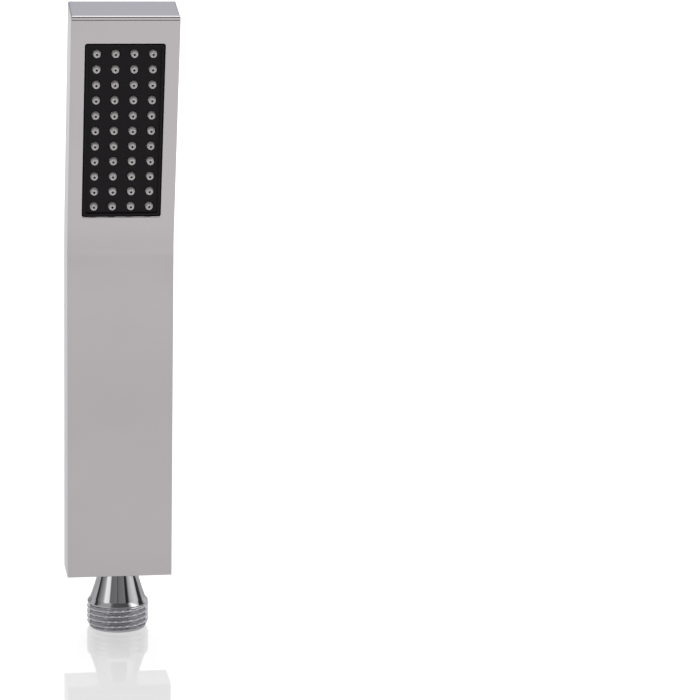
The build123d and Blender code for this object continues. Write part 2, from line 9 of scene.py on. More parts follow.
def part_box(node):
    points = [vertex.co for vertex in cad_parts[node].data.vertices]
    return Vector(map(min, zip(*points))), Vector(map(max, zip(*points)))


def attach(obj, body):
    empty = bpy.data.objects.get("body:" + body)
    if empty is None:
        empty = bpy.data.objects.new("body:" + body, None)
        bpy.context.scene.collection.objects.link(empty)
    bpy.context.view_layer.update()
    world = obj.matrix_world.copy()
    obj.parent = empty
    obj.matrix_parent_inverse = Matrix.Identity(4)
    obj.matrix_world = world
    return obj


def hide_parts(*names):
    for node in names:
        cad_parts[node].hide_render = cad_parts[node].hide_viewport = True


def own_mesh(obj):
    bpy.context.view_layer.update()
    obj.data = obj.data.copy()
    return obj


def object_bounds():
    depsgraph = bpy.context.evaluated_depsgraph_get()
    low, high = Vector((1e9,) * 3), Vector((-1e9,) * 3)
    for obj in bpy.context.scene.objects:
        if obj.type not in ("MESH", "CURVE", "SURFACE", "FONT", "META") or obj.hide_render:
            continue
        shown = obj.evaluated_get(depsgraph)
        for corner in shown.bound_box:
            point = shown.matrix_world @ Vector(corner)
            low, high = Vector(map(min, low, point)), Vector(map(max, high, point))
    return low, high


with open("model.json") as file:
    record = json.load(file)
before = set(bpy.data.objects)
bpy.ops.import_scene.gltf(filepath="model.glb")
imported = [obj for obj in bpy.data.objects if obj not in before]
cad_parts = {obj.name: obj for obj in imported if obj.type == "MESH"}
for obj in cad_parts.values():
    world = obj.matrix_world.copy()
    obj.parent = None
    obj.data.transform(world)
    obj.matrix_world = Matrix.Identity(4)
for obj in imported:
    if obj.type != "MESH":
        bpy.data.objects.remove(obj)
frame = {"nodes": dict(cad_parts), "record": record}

cad_low, cad_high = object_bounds()

# ---------------------------------------------------------------- body tube
# A flat rectangular tube, drawn with small edge radii, bent once below the spray face, and punched
# with the spray window. The window's edge is rolled over by polishing, and so are the two cut
# ends. The whole outside is polished and chrome plated.

mm = 0.001
hair = 0.02 * mm  # support points stand this far from where a rounding meets a flat
merge_distance = 0.002 * mm
crease_angle = np.radians(35)  # edges sharper than this stay sharp under smooth shading
corner_steps = 8
corner_points = corner_steps + 3

tube_low, tube_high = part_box("body_shell")
tube_width = tube_high.x - tube_low.x
tube_depth = 2 * tube_high.y
tube_base = tube_low.z
tube_wall = 1.2 * mm
tube_edge_radius = 0.35 * mm
cavity_corner_radius = 0.5 * mm
tube_end_radius = 0.15 * mm
window_width = 26 * mm
window_length = 60.4 * mm
window_corner_radius = 0.7 * mm
window_edge_radius = 0.42 * mm

# The centre line follows from the tube's box: straight up, round the bend, and on up the head
head_tilt = np.radians(12.5)
face_bend_radius = 50 * mm
line_bend_radius = face_bend_radius + tube_depth / 2
seam_y = tube_low.y + tube_depth / 2 * np.cos(head_tilt)
seam_z = tube_high.z - tube_depth / 2 * np.sin(head_tilt)
line_corner = seam_z + seam_y / np.tan(head_tilt)
bend_start = line_corner - line_bend_radius * np.tan(head_tilt / 2)
bend_end = bend_start + line_bend_radius * head_tilt
head_rise = seam_z - bend_start - line_bend_radius * np.sin(head_tilt)
seam_up = bend_end + head_rise / np.cos(head_tilt)


def on_tube(across, back, up):
    """Bends a straight bar to the tube's centre line. A point keeps its distance across and behind
    the line. Up to the bend its height is its own, in the bend it turns about the bend's centre,
    and past the bend it runs on along the tilted head."""
    across, back, up = np.broadcast_arrays(across, back, up)
    turn = np.clip((up - bend_start) / line_bend_radius, 0, head_tilt)
    beyond = np.maximum(up - bend_end, 0)
    reach = line_bend_radius + back
    y = reach * np.cos(turn) - line_bend_radius - beyond * np.sin(turn)
    z = np.minimum(up, bend_start) + reach * np.sin(turn) + beyond * np.cos(turn)
    return np.stack([across, y, z], axis=-1)


# The backing pad is a plain block centred behind the window, so its middle gives the window's
pad_low, pad_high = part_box("backing_pad")
pad_middle = (pad_low + pad_high) / 2
head_along = Vector((0, -np.sin(head_tilt), np.cos(head_tilt)))
window_up = seam_up + (pad_middle - Vector((0, seam_y, seam_z))).dot(head_along)


def on_face(across, along, depth):
    """Places a drawing on the spray face: across it, along it from the window's middle towards the
    end cap, and a depth behind its outer surface."""
    return on_tube(across, depth - tube_depth / 2, along + window_up)


def outlines(width, height, radius, extra=(0, 0)):
    """Rounded rectangles as closed loops of points, one loop for each row of sizes. Each corner is
    a quarter circle with a support point just before and after it, so that smooth shading leaves
    the sides flat. extra adds points, evenly spaced, on the level and the upright sides."""
    sizes = np.broadcast_arrays(width, height, radius)
    width, height, radius = (np.atleast_1d(size)[:, None] for size in sizes)
    turn = np.linspace(0, np.pi / 2, corner_steps + 1)
    cosine = np.concatenate([[1], np.cos(turn), [0]])
    sine = np.concatenate([[0], np.sin(turn), [1]])
    x = width / 2 - radius + radius * cosine
    y = height / 2 - radius + radius * sine
    x[:, -1] -= hair
    y[:, 0] -= hair
    level = np.linspace(1, -1, extra[0] + 2)[1:-1] * x[:, -1:]
    upright = np.linspace(1, -1, extra[1] + 2)[1:-1] * y[:, :1]
    top = np.broadcast_to(height / 2, level.shape)
    side = np.broadcast_to(width / 2, upright.shape)
    loop_x = [x, level, -x[:, ::-1], -side, -x, -level, x[:, ::-1], side]
    loop_y = [y, top, y[:, ::-1], upright, -y, -top, -y[:, ::-1], -upright]
    return np.stack([np.concatenate(loop_x, axis=1), np.concatenate(loop_y, axis=1)], axis=-1)


def edge_loop(xs, ys):
    """The points round the edge of a grid of lines at xs and ys, in the order of outlines(), whose
    corners' middle points stand beside this loop's corners."""
    x = np.concatenate([xs[::-1], np.full(len(ys) - 2, xs[0]), xs, np.full(len(ys) - 2, xs[-1])])
    y = np.concatenate([np.full(len(xs), ys[-1]), ys[-2:0:-1], np.full(len(xs), ys[0]), ys[1:-1]])
    return np.roll(np.stack([x, y], axis=-1), corner_points // 2, axis=0)


def rolled(radius, steps=5):
    """Insets and rises of a quarter circle that rolls an upright side over into a level end."""
    turn = np.linspace(0, np.pi / 2, steps + 1)
    return radius * (1 - np.cos(turn)), radius * np.sin(turn)


def closed(grid):
    """A grid of points whose last column joins its first."""
    return np.concatenate([grid, grid[..., :1, :]], axis=-2)


def add_piece(name, body, finish, grids, lids=()):
    """Makes one mesh of grids of points. Neighbours in a grid become quads, a lid is a ring filled
    by one flat face, points in one place are merged, and the faces are turned outwards."""
    points = []
    faces = []
    count = 0
    for grid in grids:
        grid = grid.reshape(-1, *grid.shape[-3:])
        numbers = count + np.arange(grid[..., 0].size).reshape(grid.shape[:-1])
        quads = [numbers[:, :-1, :-1], numbers[:, :-1, 1:], numbers[:, 1:, 1:], numbers[:, 1:, :-1]]
        faces += np.stack(quads, axis=-1).reshape(-1, 4).tolist()
        points.append(grid.reshape(-1, 3))
        count += len(points[-1])
    for ring in lids:
        faces.append(list(range(count, count + len(ring))))
        points.append(ring)
        count += len(ring)
    mesh = bpy.data.meshes.new(name)
    mesh.from_pydata(np.concatenate(points).tolist(), [], faces)
    shell = bmesh.new()
    shell.from_mesh(mesh)
    bmesh.ops.remove_doubles(shell, verts=shell.verts, dist=merge_distance)
    bmesh.ops.recalc_face_normals(shell, faces=shell.faces)
    shell.to_mesh(mesh)
    shell.free()
    mesh.shade_smooth()
    mesh.set_sharp_from_angle(angle=crease_angle)
    piece = bpy.data.objects.new(name, mesh)
    bpy.context.scene.collection.objects.link(piece)
    mesh.materials.append(finish)
    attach(piece, body)
    return piece


class Wire:
    """An output socket of a shader node. Adding, subtracting and multiplying add Math nodes, and
    node() adds any other node."""

    def __init__(self, tree, socket=None):
        self.tree = tree
        self.socket = socket

    def node(self, kind, settings, inputs, output=0):
        """Adds a node: its settings are set first, then the values or wires of its sockets."""
        made = self.tree.nodes.new("ShaderNode" + kind)
        for key, value in settings.items():
            if key == "stops":
                ramp = made.color_ramp
                while len(ramp.elements) < len(value):
                    ramp.elements.new(1.0)
                for element, (place, colour) in zip(ramp.elements, value):
                    element.position = place
                    element.color = colour
            else:
                setattr(made, key, value)
        for key, value in inputs.items():
            if isinstance(value, Wire):
                self.tree.links.new(value.socket, made.inputs[key])
            else:
                made.inputs[key].default_value = value
        return Wire(self.tree, made.outputs[output] if len(made.outputs) else None)

    def math(self, operation, *values):
        """Adds a Math node that works on the values, which may be wires or numbers."""
        return self.node("Math", {"operation": operation}, dict(enumerate(values)))

    def __add__(self, other):
        return self.math("ADD", self, other)

    def __sub__(self, other):
        return self.math("SUBTRACT", self, other)

    def __rsub__(self, other):
        return self.math("SUBTRACT", other, self)

    def __mul__(self, other):
        return self.math("MULTIPLY", self, other)

    __radd__ = __add__
    __rmul__ = __mul__

    def between(self, low, high):
        """0 below low, 1 above high, and a smooth step between them."""
        settings = {"interpolation_type": "SMOOTHSTEP", "clamp": True}
        return self.node("MapRange", settings, {0: self, 1: low, 2: high, 3: 0.0, 4: 1.0})

    def mix(self, first, second):
        """The first colour where this wire is 0, the second where it is 1."""
        return self.node("Mix", {"data_type": "RGBA"}, {0: self, 6: first, 7: second}, output=2)


def noise(wires, place, scale, detail=2.0):
    """Cloudy noise from 0 to 1, with about this many clouds to a metre."""
    return wires.node("TexNoise", {}, {"Vector": place, "Scale": scale, "Detail": detail})


def stretched(wires, place, x, y, z):
    """The place with each axis scaled, which draws a pattern out along the axes scaled least."""
    return wires.node("Mapping", {}, {"Vector": place, "Scale": (x, y, z)})


def new_finish(name):
    """An empty material, with a wire to build on and the object's own coordinates."""
    material = bpy.data.materials.new(name)
    material.use_nodes = True
    material.node_tree.nodes.clear()
    wires = Wire(material.node_tree)
    return material, wires, wires.node("TexCoord", {}, {}, output="Object")


def surfaced(wires, shader):
    """Ends a material: the shader is what its surface shows."""
    wires.node("OutputMaterial", {}, {"Surface": shader})


def chrome_finish(name, bright, dulled):
    """Bright plating: a mirror whose cast goes from bright to dulled in patches, where handling
    has hazed it. Buffing leaves hairlines along the part, and a slow ripple that bends
    reflections a little."""
    material, wires, place = new_finish(name)
    handled = noise(wires, place, scale=45.0).between(0.45, 0.75)
    brushed = stretched(wires, place, x=9000, y=9000, z=220)
    hairlines = noise(wires, brushed, scale=1.0, detail=3.0)
    ripple = noise(wires, place, scale=70.0, detail=1.0)
    buffed = wires.node("Bump", {}, {"Strength": 1.0, "Distance": 0.8e-6, "Height": hairlines})
    waved = {"Strength": 1.0, "Distance": 6e-6, "Height": ripple, "Normal": buffed}
    plating = {
        "Base Color": handled.mix((*bright, 1), (*dulled, 1)),
        "Metallic": 1.0,
        "Roughness": 0.035 + 0.045 * handled + 0.02 * hairlines,
        "Specular Tint": (0.7, 0.7, 0.73, 1),
        "Normal": wires.node("Bump", {}, waved),
    }
    surfaced(wires, wires.node("BsdfPrincipled", {}, plating))
    return material


chrome = chrome_finish("polished_chrome", (0.59, 0.559, 0.567), (0.577, 0.547, 0.557))

# Rows of the wall's section, once round it: out at the base, up the outside, in at the seam and
# down the inside. The spray window's stretch of the face is left to its own ring.
bend_steps = 24
side_points = corner_points + 1
side_steps = np.linspace(-1, 1, side_points)
face_bottom = bend_end + hair
face_top = seam_up - tube_end_radius - hair
face_rows = (face_top + face_bottom) / 2 + (face_top - face_bottom) / 2 * side_steps
bend_rows = np.linspace(bend_start, bend_end, bend_steps + 1)
roll_inset, roll_rise = rolled(tube_end_radius)
base_rows = tube_base + tube_end_radius - roll_rise[::-1]
seam_rows = seam_up - tube_end_radius + roll_rise
first_rows = [tube_base + tube_end_radius + hair, bend_start - hair]
outer_up = np.concatenate([base_rows, first_rows, bend_rows, face_rows, seam_rows])
outer_inset = np.zeros(len(outer_up))
outer_inset[:len(roll_inset)] = roll_inset[::-1]
outer_inset[-len(roll_inset):] = roll_inset
inner_up = np.concatenate([[tube_base, bend_start - hair], bend_rows, face_rows, [seam_up]])[::-1]
wall_up = np.concatenate([outer_up, inner_up, outer_up[:1]])
wall_inset = np.concatenate([outer_inset, np.full(len(inner_up), tube_wall), outer_inset[:1]])
wall_radius = np.where(wall_inset < tube_wall, tube_edge_radius - wall_inset, cavity_corner_radius)
wall_width = tube_width - 2 * wall_inset
wall_depth = tube_depth - 2 * wall_inset


def wall_strip(rows):
    """The front of the wall between its corners, over these rows of the section."""
    reach = wall_width[rows, None] / 2 - wall_radius[rows, None] - hair
    return on_tube(reach * side_steps, -wall_depth[rows, None] / 2, wall_up[rows, None])


section = outlines(wall_width, wall_depth, wall_radius)
section = np.roll(section, corner_points, axis=1)
wrap = on_tube(section[..., 0], section[..., 1], wall_up[:, None])
face_start = len(outer_up) - len(seam_rows) - side_points
face_end = face_start + side_points - 1
back_start = len(outer_up) + 1
back_end = back_start + side_points - 1
below_window = np.concatenate([np.arange(back_end, len(wall_up)), np.arange(1, face_start + 1)])
above_window = np.arange(face_end, back_start + 1)

# The ring from the flat face over the window's rolled edge, through the wall, and out behind it
face_reach = tube_width / 2 - tube_edge_radius - hair
back_reach = tube_width / 2 - tube_wall - cavity_corner_radius - hair
window_inset, window_fall = rolled(window_edge_radius, steps=8)
window_outset = [[window_edge_radius + hair], window_edge_radius - window_fall, [0]]
window_grow = 2 * np.concatenate(window_outset)
window_depth = np.concatenate([[0], window_inset, [tube_wall]])
window_loops = outlines(
    window_width + window_grow, window_length + window_grow, window_corner_radius + window_grow / 2
)
window_rows = np.concatenate([
    on_face(*edge_loop(side_steps * face_reach, face_rows - window_up).T, 0)[None],
    on_face(window_loops[..., 0], window_loops[..., 1], window_depth[:, None]),
    on_face(*edge_loop(side_steps * back_reach, face_rows - window_up).T, tube_wall)[None],
])

body_tube = add_piece(
    "body_tube",
    "handset",
    chrome,
    [wrap, wall_strip(below_window), wall_strip(above_window), closed(window_rows)],
)
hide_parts("body_shell")

# ---------------------------------------------------------------- end cap
# A flat chrome-plated plate that closes the head, with a skirt that plugs into the tube. Its outer
# edge is rounded by polishing, and a fine groove shows where it meets the tube.

cap_edge_radius = 0.7 * mm
cap_back_round = 0.2 * mm
cap_seam_radius = 0.15 * mm
cap_seam_gap = 0.08 * mm
cap_thickness = 1.39 * mm
skirt_length = 4.6 * mm
skirt_clearance = 0.05 * mm

edge_inset, edge_rise = rolled(cap_edge_radius, steps=8)
foot_inset, foot_rise = rolled(cap_seam_radius)
cap_up = np.concatenate([
    cap_seam_gap + cap_seam_radius - foot_rise[::-1],
    [cap_seam_gap + cap_seam_radius + hair, cap_thickness - cap_edge_radius - hair],
    cap_thickness - cap_edge_radius + edge_rise,
    [cap_thickness],
])
cap_inset = np.concatenate([foot_inset[::-1], [0, 0], edge_inset, [cap_edge_radius + hair]])
skirt_width = tube_width - 2 * tube_wall - 2 * skirt_clearance
skirt_depth = tube_depth - 2 * tube_wall - 2 * skirt_clearance
cap_rows = outlines(
    np.concatenate([[skirt_width, skirt_width], tube_width - 2 * cap_inset]),
    np.concatenate([[skirt_depth, skirt_depth], tube_depth - 2 * cap_inset]),
    np.concatenate([[cavity_corner_radius] * 2, np.maximum(tube_edge_radius - cap_inset, hair)]),
)
cap_heights = seam_up + np.concatenate([[-skirt_length, cap_seam_gap], cap_up])

# The cap's back edge is rounded less than the others, so its back stands out past their rounding
back_growth = np.zeros(len(cap_heights))
back_growth[-len(edge_inset) - 1:-1] = edge_inset * (1 - cap_back_round / cap_edge_radius)
back_growth[-1] = back_growth[-2]
cap_back = cap_rows[..., 1] + back_growth[:, None] * (cap_rows[..., 1] > 0)
cap_grid = on_tube(cap_rows[..., 0], cap_back, cap_heights[:, None])
cap_plate = add_piece(
    "cap_plate",
    "handset",
    chrome,
    [closed(cap_grid)],
    lids=[cap_grid[0], cap_grid[-1]],
)
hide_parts("end_cap")

# ---------------------------------------------------------------- base plate
# A brass plug, soldered flush into the tube's lower end before the tube is polished, and plated
# with it. The inlet fitting's shank goes up through it. It keeps its own solid.

base_plate = frame["nodes"]["base_plate"].data
base_plate.materials.clear()
base_plate.materials.append(chrome)

# ---------------------------------------------------------------- inlet fitting
# Turned brass, chrome plated: a right-hand G 1/2 thread with rounded crests, a collar that the
# thread runs out into, a hollow-sided flare, and the shank that holds it in the tube.

fitting_low, fitting_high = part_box("inlet_fitting")
thread_radius = min(fitting_high.x, fitting_high.y, -fitting_low.x, -fitting_low.y)
thread_pitch = 25.4 / 14 * mm  # 14 turns to the inch
thread_depth = 0.640327 * thread_pitch  # the standard's ratio
thread_flank_angle = np.radians(27.5)
thread_top = 8.95 * mm
thread_flat = 0.2 * mm  # how far the crests are cut down from the full form
thread_lead_in_depth = 1.03 * mm
thread_lead_in_length = 1.9 * mm
thread_crest_start = 7.1 * mm  # height of the top crest on the left side
thread_run_out = 0.95 * mm
flank_slope = 1 / np.tan(thread_flank_angle)
collar_radius = 10.3 * mm
collar_top = 9.0 * mm
lip_round = 0.06 * mm
lip_top = 10.2 * mm
flare_foot_radius = 9.42 * mm
flare_sag = 0.15 * mm
neck_radius = 6.6 * mm
pocket_radius = 7.4 * mm
pocket_depth = 7.0 * mm
pocket_chamfer = 0.25 * mm
bore_radius = 3.2 * mm
shank_radius = 4.6 * mm
shank_groove_depth = 0.75 * mm
shank_groove_drop = 2.0 * mm  # from the shank's end to the middle of its groove
shank_groove_half = 0.55 * mm
turn_steps = 168
thread_steps = 126
lip_round_steps = 3
flare_steps = 24


def thread_surface(angle, height):
    """Radius of the thread at an angle and a height. The crest climbs one pitch a turn. Going away
    from it, the surface falls as a parabola, then down a straight flank, then as a parabola into
    the root, and the crests are cut off level. A cone leads the thread in, and the thread fades
    out under the collar."""
    climb = thread_crest_start + thread_pitch * (angle - np.pi) / (2 * np.pi)
    away = np.abs((height - climb + thread_pitch / 2) % thread_pitch - thread_pitch / 2)
    full_depth = thread_depth + thread_flat
    soft = thread_pitch / 2 - full_depth / flank_slope
    at_crest = flank_slope * away**2 / (2 * soft)
    on_flank = flank_slope * (away - soft / 2)
    at_root = full_depth - flank_slope * (thread_pitch / 2 - away) ** 2 / (2 * soft)
    below_crest = np.where(away < thread_pitch / 2 - soft, on_flank, at_root)
    fall = np.where(away < soft, at_crest, below_crest)
    fall = np.maximum(fall - thread_flat, 0)
    fade = np.clip((thread_top - height) / thread_run_out, 0, 1)
    radius = collar_radius + (thread_radius - collar_radius - fall) * fade
    lead_in = thread_radius - thread_lead_in_depth * (1 - height / thread_lead_in_length)
    return np.minimum(radius, lead_in)


turn_angles = np.linspace(0, 2 * np.pi, turn_steps + 1)[:-1]
thread_heights = np.linspace(0, thread_top, thread_steps + 1)
lip_slope = np.arctan2(collar_radius - flare_foot_radius, lip_top - collar_top)
lip_turn = np.linspace(0, lip_slope, lip_round_steps + 1)
lip_radii = np.append(collar_radius - lip_round * (1 - np.cos(lip_turn)), flare_foot_radius)
lip_heights = np.append(collar_top + lip_round * np.sin(lip_turn), lip_top)
flare_share = np.linspace(0, 1, flare_steps + 1)
flare_radii = flare_foot_radius + (neck_radius - flare_foot_radius) * flare_share
flare_radii -= 4 * flare_sag * flare_share * (1 - flare_share)
flare_heights = lip_top + (tube_base - lip_top) * flare_share
groove_low = fitting_high.z - shank_groove_drop - shank_groove_half
groove_high = fitting_high.z - shank_groove_drop + shank_groove_half
groove_floor = shank_radius - shank_groove_depth
outside_radii = np.concatenate([
    lip_radii, flare_radii,
    [shank_radius, shank_radius, groove_floor, groove_floor, shank_radius, shank_radius],
    [bore_radius, bore_radius, pocket_radius, pocket_radius, pocket_radius + pocket_chamfer],
    [thread_radius - thread_lead_in_depth],
])
outside_heights = np.concatenate([
    lip_heights, flare_heights,
    [tube_base, groove_low, groove_low, groove_high, groove_high, fitting_high.z],
    [fitting_high.z, pocket_depth, pocket_depth, pocket_chamfer, 0],
    [0],
])
thread_radii = thread_surface(turn_angles, thread_heights[:, None])
all_radii = np.concatenate([thread_radii, outside_radii[:, None] * np.ones(turn_steps)])
all_heights = np.concatenate([thread_heights, outside_heights])[:, None]


def turned(radii, heights):
    """A surface of revolution about the handle's line, with its own radius at each point."""
    heights = np.broadcast_to(heights, radii.shape)
    return np.stack([radii * np.cos(turn_angles), radii * np.sin(turn_angles), heights], axis=-1)


# The fitting is plated apart from the tube, and its plating has a cooler cast
inlet_chrome = chrome_finish("inlet_chrome", (0.53, 0.525, 0.545), (0.51, 0.505, 0.525))
fitting = add_piece(
    "threaded_inlet",
    "handset",
    inlet_chrome,
    [closed(turned(all_radii, all_heights))],
)
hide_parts("inlet_fitting")

# ---------------------------------------------------------------- nozzle bezel
# One moulding of black plastic: a rim that fills the window, a shallow recess, and a round hole for
# each nozzle. Behind it are a flange that the window's edge holds and a seat for the mat.

nozzle_counts = (4, 11)  # across the face and along it
nozzle_pitch = (6.1 * mm, 5.33 * mm)
rim_depth = 0.25 * mm
plate_depth = 0.95 * mm
flange_front = 1.3 * mm
mat_front = 2.3 * mm
flange_back = 3.3 * mm
rim_gap = 0.3 * mm
rim_band = 0.8 * mm
rim_round = 0.12 * mm
recess_corner_radius = 0.5 * mm
plate_margin = 0.4 * mm  # the nozzles' cells end this far inside the recess
flange_size = (31.8 * mm, 65.6 * mm)
flange_corner_radius = 1.0 * mm
mat_seat_size = (25.2 * mm, 59.6 * mm)
nozzle_hole_radius = 1.45 * mm
nozzle_hole_round = 0.08 * mm
cell_sides = 8


def cell_lines(count, pitch, reach):
    """Lines halfway between the nozzles, and one at each end."""
    middle = (np.arange(1, count) - count / 2) * pitch
    return np.concatenate([[-reach], middle, [reach]])


def fine_lines(lines):
    """The lines with each gap between them cut into equal steps."""
    share = np.arange(cell_sides) / cell_sides
    fine = lines[:-1, None] + (lines[1:] - lines[:-1])[:, None] * share
    return np.concatenate([fine.ravel(), lines[-1:]])


def nozzle_cells(lines_x, lines_y, radii, depths):
    """One grid for each nozzle. Its first row runs round the rectangle between the lines, and each
    later row is a circle about the nozzle, with a radius and a depth. Where a radius is 0 the row
    is the rectangle again."""
    columns, rows = (
        (np.arange(count) - (count - 1) / 2) * pitch
        for count, pitch in zip(nozzle_counts, nozzle_pitch)
    )
    share = np.arange(cell_sides) / cell_sides
    still = np.zeros(cell_sides)
    square_x = np.concatenate([share, still + 1, 1 - share, still])
    square_y = np.concatenate([still, share, still + 1, 1 - share])
    edge_x = lines_x[:-1, None] + (lines_x[1:] - lines_x[:-1])[:, None] * square_x
    edge_y = lines_y[:-1, None] + (lines_y[1:] - lines_y[:-1])[:, None] * square_y
    first_corner = np.pi * 1.25
    angle = first_corner + 2 * np.pi * np.arange(4 * cell_sides) / (4 * cell_sides)
    circle_x = columns[:, None, None] + radii[:, None] * np.cos(angle)
    circle_y = rows[:, None, None] + radii[:, None] * np.sin(angle)
    square = radii[:, None] == 0
    shape = (*nozzle_counts, len(radii), len(angle))
    x = np.broadcast_to(np.where(square, edge_x[:, None], circle_x)[:, None], shape)
    y = np.broadcast_to(np.where(square, edge_y[:, None], circle_y)[None], shape)
    return closed(on_face(x, y, depths[:, None]))


rim_size = (window_width - 2 * rim_gap, window_length - 2 * rim_gap)
recess_size = tuple(side - 2 * rim_band for side in rim_size)
plate_lines = [
    cell_lines(count, pitch, side / 2 - plate_margin)
    for count, pitch, side in zip(nozzle_counts, nozzle_pitch, recess_size)
]
plate_edge = edge_loop(fine_lines(plate_lines[0]), fine_lines(plate_lines[1]))
extra_points = tuple(cell_sides * count + 1 - side_points for count in nozzle_counts)
hole_inset, hole_fall = rolled(nozzle_hole_round, steps=3)
mouth_radius = nozzle_hole_radius + nozzle_hole_round
hole_radii = [[0, mouth_radius + hair], mouth_radius - hole_fall, [nozzle_hole_radius, 0]]
hole_depths = [[plate_depth, plate_depth], plate_depth + hole_inset, [mat_front, mat_front]]
bezel_cells = nozzle_cells(*plate_lines, np.concatenate(hole_radii), np.concatenate(hole_depths))

# From the recess's floor up its wall, over the rim, back to the flange, and in to the mat's seat
rim_inset, rim_rise = rolled(rim_round, steps=4)
rolled_depth = rim_depth + rim_round - rim_rise
bezel_grow = np.concatenate([[-hair, 0], rim_inset, [rim_round + hair]])
inner_width = recess_size[0] + 2 * bezel_grow
inner_height = recess_size[1] + 2 * bezel_grow
inner_radius = recess_corner_radius + bezel_grow
inner_depth = np.concatenate([[plate_depth, plate_depth], rolled_depth, [rim_depth]])
outer_shrink = np.concatenate([[rim_round + hair], rim_inset[::-1], [0]])
outer_width = rim_size[0] - 2 * outer_shrink
outer_height = rim_size[1] - 2 * outer_shrink
outer_radius = window_corner_radius - outer_shrink
outer_depth = np.concatenate([[rim_depth], rolled_depth[::-1], [flange_front]])
flange = [np.full(2, size) for size in (*flange_size, flange_corner_radius)]
mat_seat = [np.full(2, size) for size in (*mat_seat_size, flange_corner_radius)]
band = [
    (inner_width, inner_height, inner_radius, inner_depth),
    (outer_width, outer_height, outer_radius, outer_depth),
    (*flange, [flange_front, flange_back]),
    (*mat_seat, [flange_back, mat_front]),
]
band_width, band_height, band_radius, band_depth = (np.concatenate(column) for column in zip(*band))
band_loops = outlines(band_width, band_height, band_radius, extra_points)
bezel_band = np.concatenate([
    on_face(plate_edge[:, 0], plate_edge[:, 1], plate_depth)[None],
    on_face(band_loops[..., 0], band_loops[..., 1], band_depth[:, None]),
    on_face(plate_edge[:, 0], plate_edge[:, 1], mat_front)[None],
])

# Satin black plastic with the fine even grain of a spark-eroded mould, and a little haze
black, wires, place = new_finish("black_plate")
grain = noise(wires, place, scale=5200.0)
haze = noise(wires, place, scale=160.0)
grained = wires.node("Bump", {}, {"Strength": 1.0, "Distance": 4e-6, "Height": grain})
moulding = {
    "Base Color": haze.mix((0.0102, 0.0079, 0.0102, 1), (0.0132, 0.0107, 0.0132, 1)),
    "Roughness": 0.34 + 0.1 * grain,
    "Specular IOR Level": 0.16,
    "Normal": grained,
}
surfaced(wires, wires.node("BsdfPrincipled", {}, moulding))
bezel = add_piece("spray_bezel", "handset", black, [bezel_cells, closed(bezel_band)])
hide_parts("nozzle_bezel")

# ---------------------------------------------------------------- nozzle mat
# One moulding of soft grey silicone: a sheet behind the plate, and a hollow nub through each hole.
# A nub stands proud of the plate, tapers, rounds over its shoulder, and has its jet in its tip.

mat_size = (25 * mm, 59.4 * mm)
nub_radius = 1.28 * mm
nub_shoulder_radius = 1.22 * mm
nub_shoulder_rise = 0.6 * mm
nub_height = 1.3 * mm
nub_tip_radius = 0.77 * mm
jet_radius = 0.32 * mm
jet_mouth_radius = 0.38 * mm
jet_inlet_radius = 0.9 * mm
jet_inlet_depth = 0.6 * mm
shoulder_steps = 8

shoulder_turn = np.linspace(0, np.pi / 2, shoulder_steps + 1)
shoulder_radii = nub_tip_radius + (nub_shoulder_radius - nub_tip_radius) * np.cos(shoulder_turn)
shoulder_rises = nub_shoulder_rise + (nub_height - nub_shoulder_rise) * np.sin(shoulder_turn)
nub_radii = np.concatenate([
    [0, nub_radius, nub_radius],
    shoulder_radii,
    [nub_tip_radius - hair, jet_mouth_radius + hair, jet_mouth_radius, jet_radius, jet_radius],
    [jet_inlet_radius, 0],
])
nub_depths = np.concatenate([
    [mat_front, mat_front, plate_depth],
    plate_depth - shoulder_rises,
    [plate_depth - nub_height] * 3,
    [plate_depth - nub_height + jet_mouth_radius - jet_radius, flange_back - jet_inlet_depth],
    [flange_back, flange_back],
])
mat_lines = [
    cell_lines(count, pitch, side / 2)
    for count, pitch, side in zip(nozzle_counts, nozzle_pitch, mat_size)
]
mat_edge = edge_loop(fine_lines(mat_lines[0]), fine_lines(mat_lines[1]))
mat_side = on_face(mat_edge[:, 0], mat_edge[:, 1], np.array([[mat_front], [flange_back]]))

# Soft grey silicone: matt, a little cloudy, with a dry bloom that catches the light. Painted
# shade darkens the insides of the jets.
silicone, wires, place = new_finish("grey_silicone")
cloud = noise(wires, place, scale=420.0, detail=3.0)
bloom = noise(wires, place, scale=7000.0)
bloomed = wires.node("Bump", {}, {"Strength": 1.0, "Distance": 5e-6, "Height": bloom})
# Where this mark is 1 the colour turns near black: painted shade in the jets
in_jet = wires.node("Attribute", {"attribute_name": "in_jet"}, {}, output="Fac")
clouded = cloud.mix((0.7, 0.667, 0.67, 1), (0.795, 0.758, 0.76, 1))
rubbery = {
    "Base Color": in_jet.mix(clouded, (0.03, 0.028, 0.028, 1)),
    "Roughness": 0.42 + 0.14 * bloom,
    "Specular IOR Level": 0.4,
    "Normal": bloomed,
}
surfaced(wires, wires.node("BsdfPrincipled", {}, rubbery))
mat = add_piece(
    "silicone_mat",
    "handset",
    silicone,
    [nozzle_cells(*mat_lines, nub_radii, nub_depths), closed(mat_side)],
)
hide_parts("nozzle_mat")


def mark_jets(mesh):
    """Gives each point a value for the jets' painted shade: 1 where it lies within the jet's radius
    of the nearest nozzle's line, and 0 elsewhere."""
    points = np.empty(3 * len(mesh.vertices))
    mesh.vertices.foreach_get("co", points)
    points = points.reshape(-1, 3)
    places = (points[:, 0], (points - np.array(pad_middle)) @ np.array(head_along))
    from_line = [
        np.abs((place / pitch + count / 2) % 1 - 0.5) * pitch
        for place, pitch, count in zip(places, nozzle_pitch, nozzle_counts)
    ]
    inside = np.hypot(*from_line) < jet_mouth_radius + hair / 2
    mark = mesh.attributes.new("in_jet", "FLOAT", "POINT")
    mark.data.foreach_set("value", inside.astype(float))


mark_jets(mat.data)

